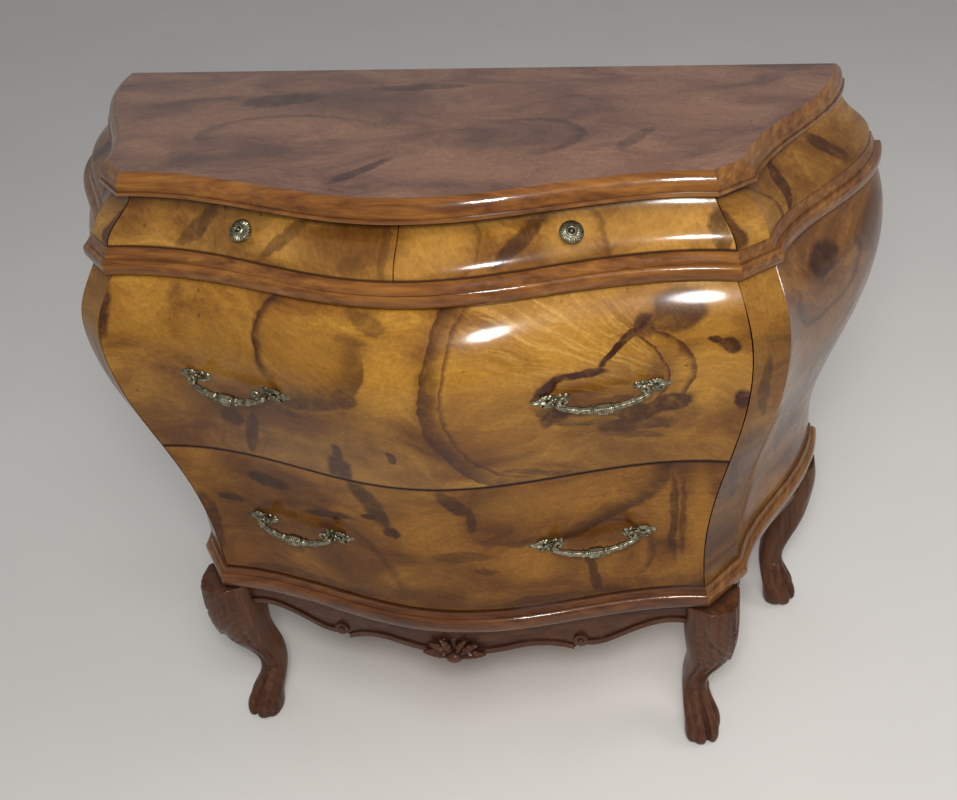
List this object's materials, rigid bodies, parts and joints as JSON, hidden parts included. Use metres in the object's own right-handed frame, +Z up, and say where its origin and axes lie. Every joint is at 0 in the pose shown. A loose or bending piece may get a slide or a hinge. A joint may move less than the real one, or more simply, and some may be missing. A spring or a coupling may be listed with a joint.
{
  "type": "bombe chest",
  "caption": "Serpentine bombe chest of drawers: small frieze drawers over deep swelling drawers, canted corners, moulded top, scalloped apron and cabriole legs.",
  "frame": {"origin": "on the floor, under the middle of the chest's bounding box", "axes": "+Z up, -Y the front that the drawers open towards, +X the right-hand side seen from the front"},
  "size_m": [1.13, 0.4802, 0.85],
  "materials": {
    "old_brass": "cast, patinated",
    "steel_screws": "plain",
    "walnut_moulding": "solid walnut, glossy varnish",
    "carved_walnut": "carved walnut, satin varnish",
    "top_veneer": "figured walnut veneer, glossy varnish",
    "burr_veneer": "matched burr walnut veneer, glossy varnish",
    "side_veneer": "walnut veneer, glossy varnish",
    "plywood": "thin board, bare",
    "inner_timber": "bare softwood"
  },
  "bodies": {
    "case": {"back_panel": "plywood", "base_moulding_front": "walnut_moulding", "base_moulding_left": "walnut_moulding", "base_moulding_right": "walnut_moulding", "bottom_board": "inner_timber", "corner_stile_left": "side_veneer", "corner_stile_right": "side_veneer", "frieze_back": "plywood", "frieze_divider": "inner_timber", "frieze_guides": "inner_timber", "frieze_side_left": "side_veneer", "frieze_side_right": "side_veneer", "front_apron": "carved_walnut", "leg_front_left": "carved_walnut", "leg_front_right": "carved_walnut", "leg_rear_left": "carved_walnut", "leg_rear_right": "carved_walnut", "lower_guides": "inner_timber", "middle_rail": "inner_timber", "middle_runners": "inner_timber", "side_apron_left": "carved_walnut", "side_apron_right": "carved_walnut", "side_panel_left": "side_veneer", "side_panel_right": "side_veneer", "top_board": "top_veneer", "top_moulding_front": "walnut_moulding", "top_moulding_left": "walnut_moulding", "top_moulding_right": "walnut_moulding", "waist_board": "inner_timber", "waist_moulding_front": "walnut_moulding", "waist_moulding_left": "walnut_moulding", "waist_moulding_right": "walnut_moulding"},
    "upper_drawer": {"upper_drawer_back": "inner_timber", "upper_drawer_bottom": "plywood", "upper_drawer_front": "burr_veneer", "upper_drawer_pull_left": "old_brass", "upper_drawer_pull_right": "old_brass", "upper_drawer_screws": "steel_screws", "upper_drawer_sides": "inner_timber"},
    "lower_drawer": {"lower_drawer_back": "inner_timber", "lower_drawer_bottom": "plywood", "lower_drawer_front": "burr_veneer", "lower_drawer_pull_left": "old_brass", "lower_drawer_pull_right": "old_brass", "lower_drawer_screws": "steel_screws", "lower_drawer_sides": "inner_timber"},
    "small_drawer_left": {"small_drawer_left_back": "inner_timber", "small_drawer_left_bottom": "plywood", "small_drawer_left_front": "burr_veneer", "small_drawer_left_knob": "old_brass", "small_drawer_left_screws": "steel_screws", "small_drawer_left_sides": "inner_timber"},
    "small_drawer_right": {"small_drawer_right_back": "inner_timber", "small_drawer_right_bottom": "plywood", "small_drawer_right_front": "burr_veneer", "small_drawer_right_knob": "old_brass", "small_drawer_right_screws": "steel_screws", "small_drawer_right_sides": "inner_timber"}
  },
  "joints": [
    {"name": "upper_drawer_slide", "type": "slide", "parent": "case", "child": "upper_drawer", "axis": [0, -1, 0], "range_m": [0, 0.24]},
    {"name": "lower_drawer_slide", "type": "slide", "parent": "case", "child": "lower_drawer", "axis": [0, -1, 0], "range_m": [0, 0.23]},
    {"name": "small_drawer_left_slide", "type": "slide", "parent": "case", "child": "small_drawer_left", "axis": [0, -1, 0], "range_m": [0, 0.17]},
    {"name": "small_drawer_right_slide", "type": "slide", "parent": "case", "child": "small_drawer_right", "axis": [0, -1, 0], "range_m": [0, 0.17]}
  ]
}
